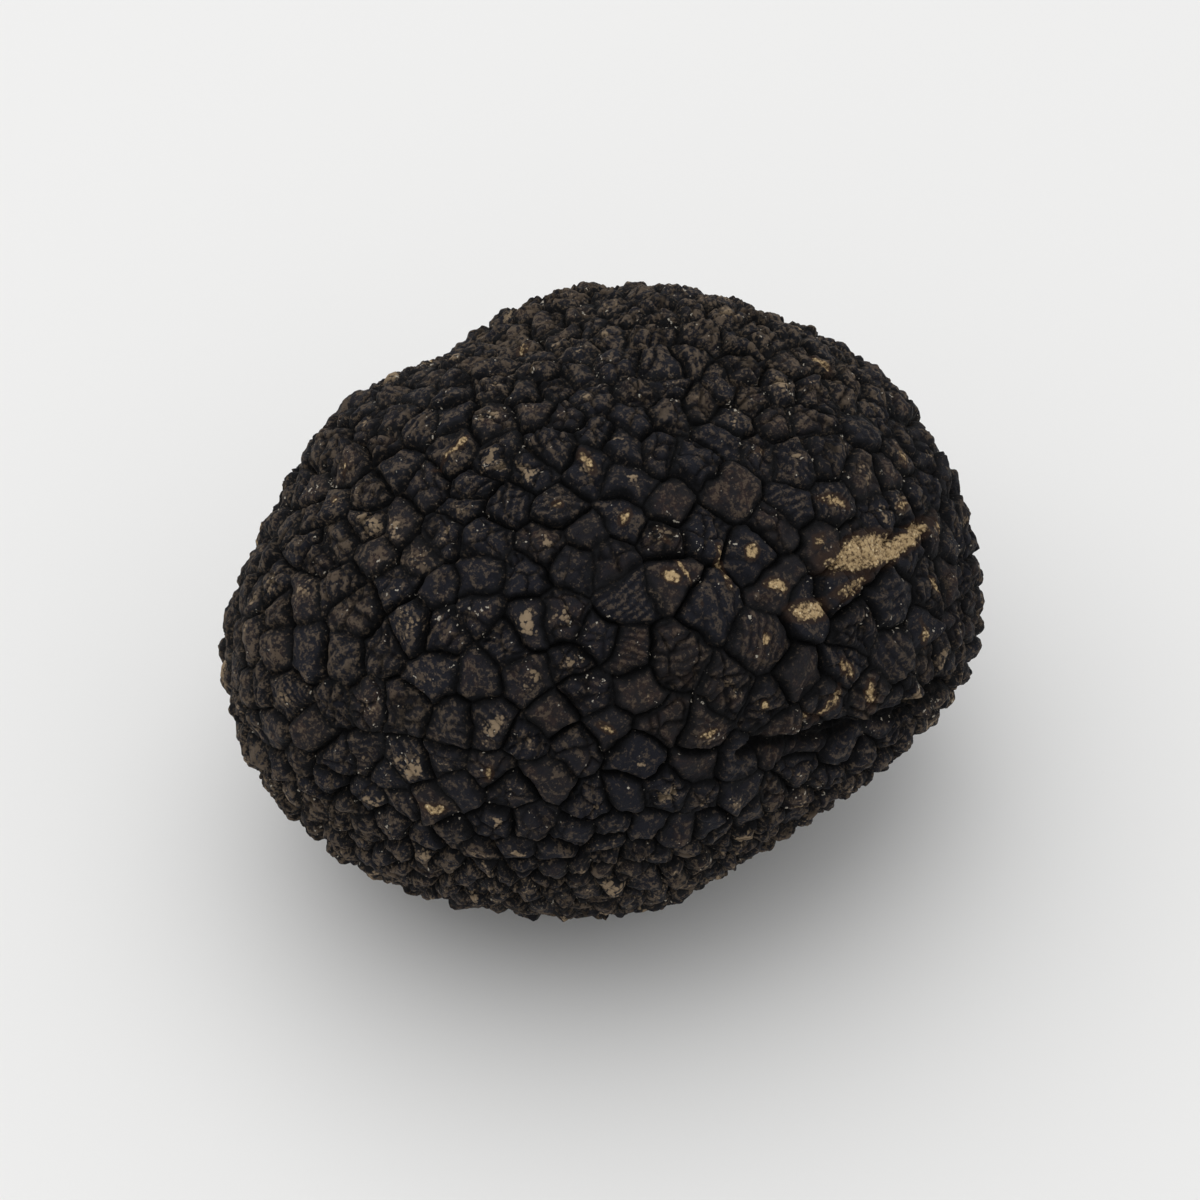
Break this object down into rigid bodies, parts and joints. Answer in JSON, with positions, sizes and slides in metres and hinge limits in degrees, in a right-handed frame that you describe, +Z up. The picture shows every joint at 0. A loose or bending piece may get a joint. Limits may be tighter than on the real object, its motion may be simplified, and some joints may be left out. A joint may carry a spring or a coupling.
{
  "type": "black truffle",
  "caption": "Whole unwashed black truffle: a slightly flattened, lobed lump with a rough warty skin, lying on a small flat spot.",
  "frame": {"origin": "under the middle of the truffle's box, on the plane it rests on", "axes": "+X along the truffle's longest way, +Y across it, +Z up from the flat spot it rests on"},
  "size_m": [0.0514, 0.041, 0.0381],
  "materials": {
    "truffle_skin": "matt, warty, blue-black with tan worn patches"
  },
  "bodies": {
    "root": {"truffle": "truffle_skin"}
  },
  "joints": []
}
